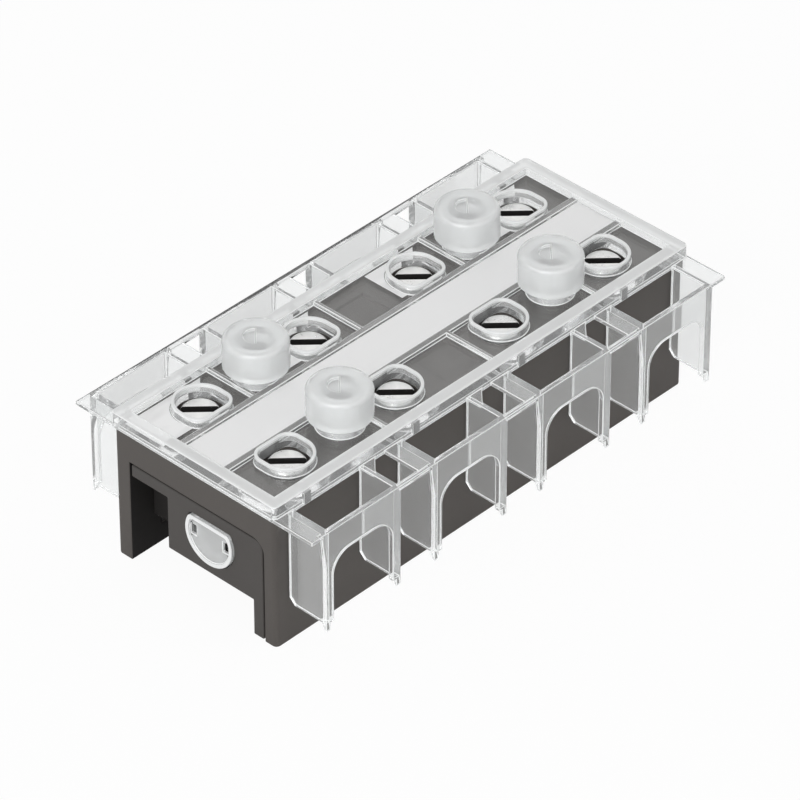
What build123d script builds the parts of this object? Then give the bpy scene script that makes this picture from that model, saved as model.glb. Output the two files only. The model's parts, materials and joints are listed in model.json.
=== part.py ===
"""Four-pole power distribution block for a 35 mm rail.

A dark moulded housing stands on two long legs, one on each side of the rail.  Inside, a carrier
holds four brass terminals, each with two clamping screws.  A clear cover with a comb of cable bays
along both long sides closes the top, held by four quarter-turn knobs.

Frame, in millimetres: X runs along the rail, Y across it, Z up.  The origin lies on the floor under
the middle of the block.
"""
import os
from math import sqrt

from build123d import *

# Poles and bays
pole_count = 4
end_margin = 14.5           # from each end of the housing to the nearest pole
bay_gap = 11.4              # between the fins of neighbouring bays

# Housing
body_length = 125.0
body_width = 46.5
shoulder_height = 33.0      # where the cover's rim rests
deck_rise = 0.6             # the deck stands this much above the shoulder
deck_thickness = 2.4
front_wall = 3.4
end_wall = 2.4
body_edge_radius = 1.2
entry_skin = 0.9            # unbroken skin over each cable entry
deck_recess_length = 10.3
deck_recess_depth = 0.8
deck_recess_margin = 6.0    # left between the recess and the long sides

# Carrier
groove_gap = 0.6            # open groove round the carrier, seen at both ends
inner_leg_thickness = 2.9
carrier_corner_radius = 2.6
carrier_floor = 1.7
carrier_wall = 0.95         # beyond each end of a terminal
recess_width = 10.4
recess_drop = 3.0           # from the carrier's top to the recess
recess_wall = 1.0           # left in front of the last terminal
core_wall = 1.6

# Rail
rail_lip = 1.0
hook_reach = 2.0
hook_height = 2.0
hook_bevel = 1.0
hook_length = 12.0
foot_margin = 22.5          # from each end to the middle of the foot and the hook
foot_length = 11.0
foot_height = 2.8
foot_bevel = 1.0
foot_travel = 2.2
foot_arm_length = 8.0
foot_arm_thickness = 0.9
foot_flange = 1.0
foot_flange_margin = 0.9
foot_skin = 0.7             # left of the leg outside the foot's pocket

# Terminals
terminal_width = 14.0
terminal_height = 18.2
terminal_chamfer = 0.8
terminal_proud = 3.7        # how far a terminal stands above the carrier
screw_headroom = 2.3        # between a terminal and the deck
entry_radius = 5.75
entry_floor = 1.15
screw_end_wall = 0.9
screw_radius = 4.1
screw_length = 13.1
screw_chamfer = 0.4
screw_slot_width = 1.9
screw_slot_depth = 2.2
screw_slot_angle = -45.0
pad_width = 7.0
pad_length = 9.0
pad_thickness = 1.4
pad_chamfer = 0.35
pad_stud_radius = 1.5
pad_stud_height = 1.5

# Cover
cover_overhang = 0.45
rim_height = 4.0
border_width = 3.0
plate_thickness = 1.3
rib_height = 0.9
strip_rib_width = 1.6
cross_rib_width = 0.9
ring_gap = 1.15             # between a screw and the ring round it
ring_wall = 0.75
ring_flat = 5.5             # from a ring's middle to its flat side at the strip
ring_corner_radius = 3.3
ring_rise = 0.4             # above the rim
latch_offset = 5.0
latch_length = 1.4
latch_thickness = 1.0
latch_height = 2.4

# Comb
comb_reach = 10.95          # how far the comb stands out from the housing wall
comb_depth = 23.7
comb_rise = 1.0             # the fins' tops stand this much above the shoulder
fin_thickness = 1.3
fin_toe_chamfer = 1.5
web_thickness = 1.35
web_band = 7.1
web_leg = 1.0
arch_radius = 5.0
ear_width = 4.6
spur_height = 8.6
spur_width = 1.2
tip_length = 1.8
tip_end_width = 0.5
bar_width = 1.2
gusset_size = 3.4

# Knobs
knob_inset = 0.5            # nearer the middle line than the screws
knob_radius = 7.15
knob_lift = 1.2             # above the rim
knob_height = 7.4
knob_wall = 1.3
knob_edge_radius = 1.4
knob_collar_radius = 5.2
knob_hub_radius = 4.2
knob_shank_radius = 3.0
knob_shank_length = 9.0
knob_slit_width = 0.8
knob_slit_length = 5.5
knob_mark_radius = 2.6
knob_mark_depth = 0.7
knob_mark_angle = 45.0

# Label strip and end plugs
label_thickness = 0.5
label_corner_radius = 0.5
plug_radius = 6.75
plug_centre_y = -4.1
plug_rise = 9.3             # of its middle above the rail channel
plug_flat_rise = 3.7        # of its flat above its middle
plug_corner_radius = 1.2
plug_rim = 0.9
plug_face = 0.8
plug_depth = 3.4
plug_proud = 0.6
plug_slot_width = 1.5
plug_slot_height = 2.6
plug_slot_offset = 4.6

# Housing screws
housing_screw_radius = 1.6
housing_screw_head_radius = 3.1
housing_screw_head_height = 2.2
housing_screw_head_round = 0.55
housing_screw_length = 20.0
cross_length = 3.1
cross_width = 0.8
cross_depth = 1.1
post_radius = 4.2

# Clearances
fit_gap = 0.3               # between mouldings that go together
thread_gap = 0.08           # radial, between a screw and its hole
slide_gap = 0.2
wall_gap = 0.3              # between the comb and the housing wall

# How far a cut runs past a face, and how far an added piece reaches into its neighbour
overcut = 1.0
embed = 0.75

# Places worked out from the sizes above
half_length = body_length / 2
half_width = body_width / 2
deck_top = shoulder_height + deck_rise
deck_under = deck_top - deck_thickness
cover_top = shoulder_height + rim_height
terminal_top = deck_under - screw_headroom
terminal_base = terminal_top - terminal_height
carrier_top = terminal_top - terminal_proud
channel_height = terminal_base - carrier_floor
entry_height = terminal_base + entry_floor + entry_radius
back_wall = foot_arm_thickness + foot_travel + 2 * slide_gap + foot_skin
chamber_front = -half_width + front_wall
chamber_back = half_width - back_wall
rail_front = chamber_front + groove_gap + inner_leg_thickness
terminal_length = 2 * (chamber_back - fit_gap - slide_gap - carrier_wall)
screw_row = terminal_length / 2 - screw_end_wall - screw_radius
pole_pitch = (body_length - 2 * end_margin) / (pole_count - 1)
bay_spacing = pole_pitch - bay_gap
foot_centre = half_length - foot_margin
pole_places = [(i - (pole_count - 1) / 2) * pole_pitch for i in range(pole_count)]
gap_places = [(pole_places[i] + pole_places[i + 1]) / 2 for i in range(pole_count - 1)]
knob_gaps = [gap_places[0], gap_places[-1]]
pad_top = entry_height + sqrt(entry_radius**2 - (pad_width / 2) ** 2) - slide_gap
carrier_length = body_length - 2 * fit_gap
carrier_half = carrier_length / 2
recess_top = carrier_top - recess_drop
recess_depth = carrier_half - pole_places[-1] - terminal_width / 2 - slide_gap - recess_wall
cover_half_length = half_length + cover_overhang
cover_half_width = half_width + cover_overhang
rim_inside = cover_half_width - embed
plate_under = deck_top + fit_gap
plate_top = plate_under + plate_thickness
fin_offset = bay_spacing / 2
comb_front = half_width + comb_reach
comb_wall = half_width + wall_gap
comb_top = shoulder_height + comb_rise
comb_bottom = comb_top - comb_depth
latch_line = cover_half_width - border_width / 2
ring_inner_radius = screw_radius + ring_gap
ring_top = cover_top + ring_rise
strip_half_width = screw_row - ring_flat - strip_rib_width
knob_row = screw_row - knob_inset
knob_base = cover_top + knob_lift
knob_top = knob_base + knob_height
socket_bottom = knob_base - knob_shank_length - fit_gap
plug_centre_height = channel_height + plug_rise
foot_top = channel_height - rail_lip - slide_gap


def block(x_from, x_to, y_from, y_to, z_from, z_to):
    """A box between two corners."""
    corner = Pos((x_from + x_to) / 2, (y_from + y_to) / 2, (z_from + z_to) / 2)
    return corner * Box(x_to - x_from, y_to - y_from, z_to - z_from)


def upright(x, y, radius, z_from, z_to):
    """A vertical cylinder."""
    return Pos(x, y, (z_from + z_to) / 2) * Cylinder(radius, z_to - z_from)


def across(x, z, radius, y_from, y_to):
    """A cylinder lying along Y."""
    return Pos(x, (y_from + y_to) / 2, z) * Rot(90, 0, 0) * Cylinder(radius, y_to - y_from)


def along_x(face_yz, x_from, x_to):
    """Extrudes a sketch, drawn with Y to the right and Z up, along X."""
    plane = Plane(origin=(x_from, 0, 0), x_dir=(0, 1, 0), z_dir=(1, 0, 0))
    return extrude(plane * face_yz, x_to - x_from)


def turned_about_z(shape):
    """The same shape half a turn round the block's upright axis."""
    return Rot(0, 0, 180) * shape


def screw_places():
    """Every clamping screw: pole number, row name, X and Y."""
    rows = [("front", -screw_row), ("back", screw_row)]
    return [(i + 1, name, x, y) for i, x in enumerate(pole_places) for name, y in rows]


def knob_places():
    """Every knob: its name, X and Y."""
    sides = [("front", -knob_row), ("back", knob_row)]
    ends = zip(("near", "far"), knob_gaps)
    return [(f"{end}_{side}", x, y) for end, x in ends for side, y in sides]


def housing_shell():
    """The outer shell: an upside-down trough with a raised deck."""
    shell = block(-half_length, half_length, -half_width, half_width, 0, shoulder_height)
    uprights = shell.edges().filter_by(Axis.Z)
    shell = fillet(uprights, body_edge_radius)
    edge = border_width / 2
    deck = block(-half_length + edge, half_length - edge, -half_width + edge, half_width - edge,
                 shoulder_height - overcut, deck_top)
    shell += deck
    width = chamber_back - chamber_front
    height = carrier_top + groove_gap
    trough = Rectangle(width, height, align=(Align.MIN, Align.MIN))
    corner = trough.vertices().sort_by(Axis.Y)[-2:].sort_by(Axis.X)[0]
    trough = fillet(corner, carrier_corner_radius + groove_gap)
    shell -= along_x(Pos(chamber_front, 0) * trough, -half_length, half_length)
    shell -= block(-half_length + end_wall, half_length - end_wall, chamber_front, chamber_back,
                   carrier_top, deck_under)
    return shell


def base_housing():
    """The housing with its screw wells, knob sockets, cable entries and foot windows."""
    housing = housing_shell()
    well_radius = ring_inner_radius + fit_gap / 2
    for _, _, x, y in screw_places():
        housing += upright(x, y, well_radius + core_wall, terminal_top + fit_gap, deck_under)
    for _, x, y in knob_places():
        housing += upright(x, y, knob_shank_radius + core_wall, socket_bottom - core_wall, deck_under)
    for x in gap_places:
        housing += upright(x, 0, post_radius, carrier_top + fit_gap / 2, deck_under)
    for _, _, x, y in screw_places():
        housing -= upright(x, y, well_radius, terminal_top, deck_top + overcut)
    for _, x, y in knob_places():
        housing -= upright(x, y, knob_shank_radius + slide_gap, socket_bottom, deck_top + overcut)
    for x in gap_places:
        tip = channel_height + housing_screw_length
        housing -= upright(x, 0, housing_screw_radius + thread_gap, 0, tip + fit_gap)
    for x in pole_places:
        housing -= across(x, entry_height, entry_radius, -half_width + entry_skin, half_width - entry_skin)
    recess_half = half_width - deck_recess_margin
    housing -= block(-deck_recess_length / 2, deck_recess_length / 2, -recess_half, recess_half,
                     deck_top - deck_recess_depth, deck_top + overcut)
    for x in pole_places:
        post = latch_post(x)
        housing += [post, turned_about_z(post)]
    return housing - foot_windows()


def latch_post(x, clearance=0.0):
    """A small post on the shoulder that the cover's rim snaps over, or the pocket it sits in."""
    half_x = latch_length / 2 + clearance
    half_y = latch_thickness / 2 + clearance
    middle = x - latch_offset
    return block(middle - half_x, middle + half_x, -latch_line - half_y, -latch_line + half_y,
                 shoulder_height - overcut, shoulder_height + latch_height + clearance)


def foot_windows():
    """The pockets and windows for the rail feet in the back leg."""
    cuts = []
    low = foot_top - foot_height - slide_gap
    high = foot_top + slide_gap
    for x in (-foot_centre, foot_centre):
        half = foot_length / 2 + slide_gap
        arm_half = foot_length / 2 + foot_arm_length + slide_gap
        pocket = foot_arm_thickness + foot_travel + 2 * slide_gap
        inner = chamber_back - overcut
        cuts.append(block(x - half, x + half, inner, half_width + overcut, low, high))
        cuts.append(block(x - arm_half, x + arm_half, inner, chamber_back + pocket, low, high))
    return Compound(cuts)


def rail_carrier():
    """The inner frame: rail channel, terminal pockets, end panels and screw bosses."""
    front = chamber_front + groove_gap
    back = chamber_back - fit_gap
    profile = Rectangle(back - front, carrier_top, align=(Align.MIN, Align.MIN))
    corner = profile.vertices().sort_by(Axis.Y)[-2:].sort_by(Axis.X)[0]
    profile = fillet(corner, carrier_corner_radius)
    channel = Rectangle(back - front, channel_height, align=(Align.MIN, Align.MIN))
    profile -= Pos(rail_front - front, 0) * channel
    carrier = along_x(Pos(front, 0) * profile, -carrier_half, carrier_half)
    for end in (-1, 1):
        x_from, x_to = sorted((end * (carrier_half + overcut), end * (carrier_half - recess_depth)))
        carrier -= block(x_from, x_to, back - recess_width, back + overcut, 0, recess_top)
    for x in pole_places:
        half_x = terminal_width / 2 + slide_gap
        half_y = terminal_length / 2 + slide_gap
        carrier -= block(x - half_x, x + half_x, -half_y, half_y, terminal_base, carrier_top + overcut)
        carrier -= across(x, entry_height, entry_radius, front - overcut, back + overcut)
    for x in gap_places:
        half_x = (pole_pitch - terminal_width) / 2 - slide_gap - core_wall
        core = block(x - half_x, x + half_x, rail_front, back - core_wall,
                     channel_height - overcut, carrier_top - carrier_floor)
        core -= upright(x, 0, post_radius, 0, carrier_top)
        carrier -= core
        carrier -= upright(x, 0, housing_screw_radius + slide_gap, 0, carrier_top + overcut)
        head = housing_screw_head_height + slide_gap
        carrier -= upright(x, 0, housing_screw_head_radius + slide_gap, channel_height - overcut,
                           channel_height + head)
    for end in (-1, 1):
        x_from, x_to = sorted((end * (carrier_half + overcut), end * (carrier_half - plug_depth)))
        carrier -= along_x(plug_outline(fit_gap / 2), x_from, x_to)
    hook_top = channel_height - rail_lip
    for x in (-foot_centre, foot_centre):
        edge = rail_front
        hook = Polyline((edge - overcut, hook_top), (edge + hook_reach, hook_top),
                        (edge + hook_reach, hook_top - hook_bevel), (edge, hook_top - hook_height),
                        (edge - overcut, hook_top - hook_height), close=True)
        carrier += along_x(make_face(hook), x - hook_length / 2, x + hook_length / 2)
    return carrier


def plug_outline(grow=0.0, shrink=0.0):
    """The D-shaped outline of the end plug: a disc cut flat at the top, with rounded corners."""
    radius = plug_radius + grow - shrink
    flat = plug_flat_rise + grow - shrink
    keep = Pos(0, (flat - radius) / 2) * Rectangle(2 * radius, radius + flat)
    outline = Circle(radius) & keep
    corners = outline.vertices().group_by(Axis.Y)[-1]
    outline = fillet(corners, plug_corner_radius)
    return Pos(plug_centre_y, plug_centre_height) * outline


def end_plug(end):
    """A clear D-shaped plug: a hollow body, a raised rim round its face and two slots."""
    inner = carrier_half - plug_depth + fit_gap
    outer = carrier_half + plug_proud
    face = outer - plug_rim / 2
    plug = along_x(plug_outline(), inner, outer)
    plug -= along_x(plug_outline(shrink=plug_rim), face, outer + overcut)
    plug -= along_x(plug_outline(shrink=plug_rim), inner - overcut, face - plug_face)
    for side in (-1, 1):
        y = plug_centre_y + side * plug_slot_offset
        plug -= block(inner - overcut, outer + overcut, y - plug_slot_width / 2, y + plug_slot_width / 2,
                      plug_centre_height - plug_slot_height / 2, plug_centre_height + plug_slot_height / 2)
    return plug if end > 0 else mirror(plug, about=Plane.YZ)


def terminal_block(x):
    """A brass bar with one cable bore right through and a threaded hole near each end."""
    half_x, half_y = terminal_width / 2, terminal_length / 2
    bar = block(x - half_x, x + half_x, -half_y, half_y, terminal_base, terminal_top)
    bar = chamfer(bar.edges().filter_by(Axis.Y), terminal_chamfer)
    bar -= across(x, entry_height, entry_radius, -half_y - overcut, half_y + overcut)
    for y in (-screw_row, screw_row):
        bar -= upright(x, y, screw_radius + thread_gap, entry_height, terminal_top + overcut)
    return bar


def clamp_screw(x, y):
    """A slotted grub screw, shown backed out, with a blind hole that holds the pad's stud."""
    top = pad_top + screw_length
    screw = upright(x, y, screw_radius, pad_top, top)
    screw = chamfer(screw.edges().filter_by(GeomType.CIRCLE), screw_chamfer)
    slot = Box(2 * screw_radius + overcut, screw_slot_width, 2 * screw_slot_depth)
    screw -= Pos(x, y, top) * Rot(0, 0, screw_slot_angle) * slot
    stud_top = pad_top + pad_stud_height + slide_gap
    screw -= upright(x, y, pad_stud_radius + thread_gap, pad_top - overcut, stud_top)
    return screw


def clamp_pad(x, y):
    """The pressure pad that hangs on the screw's end and doesn't turn with it."""
    pad = block(x - pad_width / 2, x + pad_width / 2, y - pad_length / 2, y + pad_length / 2,
                pad_top - pad_thickness, pad_top)
    pad = chamfer(pad.edges().group_by(Axis.Z)[0], pad_chamfer)
    return pad + upright(x, y, pad_stud_radius, pad_top - pad_thickness / 2, pad_top + pad_stud_height)


def cover_tray():
    """The cover's plate with its raised border, the ribs of the label channel and the cross ribs."""
    tray = block(-cover_half_length, cover_half_length, -cover_half_width, cover_half_width,
                 shoulder_height, cover_top)
    tray = fillet(tray.edges().filter_by(Axis.Z), body_edge_radius)
    edge = border_width / 2 - fit_gap
    tray -= block(-half_length + edge, half_length - edge, -half_width + edge, half_width - edge,
                  shoulder_height - overcut, plate_under)
    inner_length = cover_half_length - border_width
    inner_width = cover_half_width - border_width
    tray -= block(-inner_length, inner_length, -inner_width, inner_width, plate_top, cover_top + overcut)
    rib_top = plate_top + rib_height
    for side in (-1, 1):
        y_from, y_to = sorted((side * strip_half_width, side * (strip_half_width + strip_rib_width)))
        tray += block(-inner_length, inner_length, y_from, y_to, plate_under, rib_top)
    for x in pole_places[1:]:
        rib_x = x - fin_offset
        rib = block(rib_x - cross_rib_width / 2, rib_x + cross_rib_width / 2, -inner_width,
                    -strip_half_width, plate_under, rib_top)
        tray += [rib, turned_about_z(rib)]
    return tray


def fin(x):
    """One fin: a plate with a cut toe and a pointed tip at its front corner."""
    outline = Polyline(
        (-comb_front, comb_top), (-comb_front, comb_bottom), (-comb_wall - fin_toe_chamfer, comb_bottom),
        (-comb_wall, comb_bottom + fin_toe_chamfer), (-comb_wall, shoulder_height),
        (-rim_inside, shoulder_height), (-rim_inside, comb_top), close=True)
    plate = along_x(make_face(outline), x - fin_thickness / 2, x + fin_thickness / 2)
    tip = Polyline((-comb_front, comb_bottom), (-comb_front, comb_bottom - tip_length),
                   (-comb_front + tip_end_width, comb_bottom - tip_length),
                   (-comb_front + web_thickness, comb_bottom), close=True)
    return plate + along_x(make_face(tip), x - fin_thickness / 2, x + fin_thickness / 2)


def portal(x):
    """The front web of a bay: an arch with a flat head and two thin legs."""
    half = fin_offset + fin_thickness / 2
    web = block(x - half, x + half, -comb_front, -comb_front + web_thickness, comb_bottom, comb_top)
    arch_half = fin_offset - fin_thickness / 2 - web_leg
    arch_top = comb_top - web_band
    arch = block(x - arch_half, x + arch_half, -comb_front - overcut, -comb_front + web_thickness + overcut,
                 comb_bottom - 2 * arch_radius, arch_top)
    shoulders = arch.edges().filter_by(Axis.Y).group_by(Axis.Z)[-1]
    return web - fillet(shoulders, arch_radius)


def ear(x_from, x_to):
    """A flat roof strip beside a fin, from the rim to the front of the comb."""
    return block(x_from, x_to, -comb_front, -rim_inside, shoulder_height, comb_top)


def spur(x):
    """A pointed rib that hangs at the front of an ear, beside its fin."""
    face = x - fin_thickness / 2
    outline = Polyline((face + fin_thickness / 2, comb_top), (face - spur_width, comb_top),
                       (face, comb_top - spur_height), (face + fin_thickness / 2, comb_top - spur_height),
                       close=True)
    plane = Plane(origin=(0, -comb_front, 0), x_dir=(1, 0, 0), z_dir=(0, -1, 0))
    return extrude(plane * make_face(outline), -spur_width)


def gusset(x):
    """A flat corner piece between the rim and the open side of a fin."""
    wall = -rim_inside
    outline = Polyline((x, wall), (x + fin_thickness / 2 + gusset_size, wall),
                       (x + fin_thickness / 2 + gusset_size, -cover_half_width),
                       (x + fin_thickness / 2, -cover_half_width - gusset_size),
                       (x, -cover_half_width - gusset_size), close=True)
    return Pos(0, 0, shoulder_height) * extrude(make_face(outline), comb_rise)


def comb():
    """The front comb: fins, portals, ears, spurs, bars and gussets."""
    pieces = []
    for x in pole_places:
        left, right = x - fin_offset, x + fin_offset
        pieces += [fin(left), fin(right), portal(x), ear(left - ear_width, left), spur(left)]
    for x in gap_places:
        right = x - (pole_pitch / 2 - fin_offset)
        left = x + (pole_pitch / 2 - fin_offset)
        pieces.append(block(right, left, -comb_front, -comb_front + bar_width,
                            comb_top - bar_width, comb_top))
        pieces.append(gusset(right))
    last = pole_places[-1] + fin_offset
    pieces.append(ear(last, last + ear_width))
    return pieces


def ring(x, y, shrink, z_from, z_to):
    """A screw ring's outline, upright: a disc with a flat, rounded side towards the label strip."""
    radius = ring_inner_radius + ring_wall - shrink
    flat = ring_flat - shrink
    upper = Pos(0, flat / 2) * Rectangle(2 * radius, flat)
    upper = fillet(upper.vertices().group_by(Axis.Y)[-1], ring_corner_radius - shrink)
    lower = Circle(radius) & Pos(0, -radius / 2) * Rectangle(2 * radius, radius)
    outline = upper + lower
    turn = 0 if y < 0 else 180
    return Pos(x, y, z_from) * Rot(0, 0, turn) * extrude(outline, z_to - z_from)


def clear_cover():
    """The clear cover: tray, combs, screw rings, knob collars and latch pockets."""
    cover = cover_tray()
    front = comb()
    cover += front + [turned_about_z(piece) for piece in front]
    for _, _, x, y in screw_places():
        cover += ring(x, y, 0, plate_under, ring_top)
    for _, x, y in knob_places():
        cover += upright(x, y, knob_collar_radius, plate_under, knob_base)
    for _, _, x, y in screw_places():
        cover -= ring(x, y, ring_wall, plate_under - overcut, ring_top + overcut)
    for _, x, y in knob_places():
        cover -= upright(x, y, knob_shank_radius + slide_gap, plate_under - overcut, knob_base + overcut)
    for x in pole_places:
        pocket = latch_post(x, fit_gap)
        cover -= [pocket, turned_about_z(pocket)]
    return cover


def cover_knob(x, y):
    """A clear quarter-turn knob: a hollow cap round a hub, on a split shank."""
    cap = upright(0, 0, knob_radius, knob_base, knob_top)
    cap = fillet(cap.edges().group_by(Axis.Z)[-1], knob_edge_radius)
    cavity = upright(0, 0, knob_radius - knob_wall, knob_base - overcut, knob_top - knob_wall)
    cap -= cavity - upright(0, 0, knob_hub_radius, 0, knob_top)
    cap += upright(0, 0, knob_shank_radius, knob_base - knob_shank_length, knob_base + overcut)
    mark = upright(0, 0, knob_mark_radius, knob_top - knob_mark_depth, knob_top + overcut)
    cap -= mark & block(-knob_radius, knob_radius, 0, knob_radius, 0, knob_top + overcut)
    shank_bottom = knob_base - knob_shank_length
    cap -= block(-knob_slit_width / 2, knob_slit_width / 2, -knob_radius, knob_radius,
                 shank_bottom - overcut, shank_bottom + knob_slit_length)
    return Pos(x, y, 0) * Rot(0, 0, knob_mark_angle) * cap


def label_strip():
    """The white marking strip in the cover's middle channel."""
    half_x = cover_half_length - border_width - fit_gap
    half_y = strip_half_width - slide_gap
    strip = block(-half_x, half_x, -half_y, half_y, plate_top, plate_top + label_thickness)
    return fillet(strip.edges().filter_by(Axis.Z), label_corner_radius)


def rail_foot(x):
    """The sliding foot that grips the rail's back edge, with two leaf arms and an outer flange."""
    nose, low = chamber_back - hook_reach, foot_top - foot_height
    outline = Polyline((nose, foot_top), (half_width + slide_gap, foot_top),
                       (half_width + slide_gap, low), (nose + hook_reach, low),
                       (nose, foot_top - foot_bevel), close=True)
    foot = along_x(make_face(outline), x - foot_length / 2, x + foot_length / 2)
    margin = foot_flange_margin
    foot += block(x - foot_length / 2 - margin, x + foot_length / 2 + margin, half_width + thread_gap,
                  half_width + thread_gap + foot_flange, low - margin, foot_top + margin)
    arm = foot_length / 2 + foot_arm_length
    foot += block(x - arm, x + arm, chamber_back + slide_gap / 2,
                  chamber_back + slide_gap / 2 + foot_arm_thickness, low, foot_top)
    return foot


def housing_screw(x):
    """A pan-head screw from the rail channel up into the housing's post."""
    head = upright(x, 0, housing_screw_head_radius, channel_height + slide_gap,
                   channel_height + housing_screw_head_height)
    head = fillet(head.edges().group_by(Axis.Z)[0], housing_screw_head_round)
    shank_top = channel_height + housing_screw_length
    screw = head + upright(x, 0, housing_screw_radius, channel_height + slide_gap, shank_top)
    for angle in (0, 90):
        cross = Box(cross_length, cross_width, 2 * cross_depth)
        screw -= Pos(x, 0, channel_height + slide_gap) * Rot(0, 0, angle + 45) * cross
    return screw


def all_parts():
    """Every sub-part by the name of its file."""
    parts = {
        "base_housing": base_housing(),
        "rail_carrier": rail_carrier(),
        "clear_cover": clear_cover(),
        "label_strip": label_strip(),
        "end_plug_near": end_plug(-1),
        "end_plug_far": end_plug(1),
        "rail_foot_near": rail_foot(-foot_centre),
        "rail_foot_far": rail_foot(foot_centre),
    }
    for number, x in enumerate(pole_places, start=1):
        parts[f"terminal_block_{number}"] = terminal_block(x)
    for number, row, x, y in screw_places():
        parts[f"clamp_screw_{number}_{row}"] = clamp_screw(x, y)
        parts[f"clamp_pad_{number}_{row}"] = clamp_pad(x, y)
    for name, x, y in knob_places():
        parts[f"cover_knob_{name}"] = cover_knob(x, y)
    for number, x in enumerate(gap_places, start=1):
        parts[f"housing_screw_{number}"] = housing_screw(x)
    return parts


def write_parts():
    """Writes one STEP file for each sub-part."""
    os.makedirs("parts", exist_ok=True)
    for name, shape in all_parts().items():
        export_step(shape, f"parts/{name}.step")


write_parts()
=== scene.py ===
"""Dresses the power distribution block: finishes, rounded edges, screw threads, light and camera.

Sizes whose names end in _mm are in millimetres and become metres where a mesh is built.
"""
import json
import logging
import math
from dataclasses import dataclass, field
from enum import Enum

import bmesh
import bpy
from mathutils import Matrix, Vector


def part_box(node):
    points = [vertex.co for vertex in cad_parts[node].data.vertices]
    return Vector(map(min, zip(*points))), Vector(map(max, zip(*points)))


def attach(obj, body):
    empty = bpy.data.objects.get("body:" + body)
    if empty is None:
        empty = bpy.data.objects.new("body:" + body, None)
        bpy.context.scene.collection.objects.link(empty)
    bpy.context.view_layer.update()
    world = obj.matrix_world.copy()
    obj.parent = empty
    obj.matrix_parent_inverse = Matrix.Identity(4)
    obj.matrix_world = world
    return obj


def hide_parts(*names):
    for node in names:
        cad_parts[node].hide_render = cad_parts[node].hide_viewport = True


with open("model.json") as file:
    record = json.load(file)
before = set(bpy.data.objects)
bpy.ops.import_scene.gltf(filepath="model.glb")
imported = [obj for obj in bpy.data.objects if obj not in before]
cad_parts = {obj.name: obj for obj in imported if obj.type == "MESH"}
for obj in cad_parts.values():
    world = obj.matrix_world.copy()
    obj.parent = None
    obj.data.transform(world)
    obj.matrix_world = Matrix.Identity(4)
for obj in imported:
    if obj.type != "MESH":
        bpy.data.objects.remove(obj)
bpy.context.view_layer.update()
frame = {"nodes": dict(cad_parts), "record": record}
LOG = logging.getLogger("distribution_block")
MM = 0.001
UP = (0.0, 0.0, 1.0)
WHITE = (1.0, 1.0, 1.0, 1.0)

# Colour sockets of a Mix node, which has more sockets of the same names.
MIX_A, MIX_B, MIX_RESULT = 6, 7, 2
# A noise texture's mean, taken off so that the noise swings to both sides.
NOISE_MEAN = 0.5
# How much the slow cloudiness counts beside the fine grain, and how far both shift the roughness.
CLOUD_WEIGHT = 1.6
GRAIN_ROUGHNESS = 0.12
# Flow lines of clear plastic: how they are drawn out, how they waver, and their haze's roughness.
FLOW_STRETCH = (1.0, 4.0, 1.0)
FLOW_DISTORTION = 0.8
HAZE_ROUGHNESS = 0.05
# Corners closer than this are one corner.
MERGE_MM = 0.0005
# Triangles flatter than this are joined in pairs, if the pair is no more askew than this.
FLAT_DEG = 0.5
SKEW_DEG = 60.0
# Edges sharper than this are rounded.
SHARP_DEG = 32.0
# From this much of an axis in its normal, a face counts as facing along it, or as an upper face.
FACING = 0.9
UPPER = 0.5
# Steps in a turn of a thread, and corners of its ridge.
COIL_STEPS = 20
RIDGE_CORNERS = 4

Colour = tuple[float, float, float]
Sockets = bpy.types.bpy_prop_collection


def srgb(red: int, green: int, blue: int) -> Colour:
    """A colour read as 0 to 255 screen values, in linear light."""
    def linear(value: int) -> float:
        """One channel in linear light."""
        part = value / 255
        return part / 12.92 if part <= 0.04045 else ((part + 0.055) / 1.055) ** 2.4
    return linear(red), linear(green), linear(blue)


class Region(Enum):
    """The parts of the clear cover that differ in how clear they look, numbered as its slots."""

    PLATE = 0
    COMB = 1
    # Upward faces of the border, whiter than its sides: painted light.
    BORDER = 2
    RIB = 3
    # White top band of the rings: painted highlight.
    RING = 4
    # Nearly white rounded edges: painted highlight.
    EDGE = 5
    # Dark top edges and latch pockets: painted shade.
    OUTLINE = 6


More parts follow.
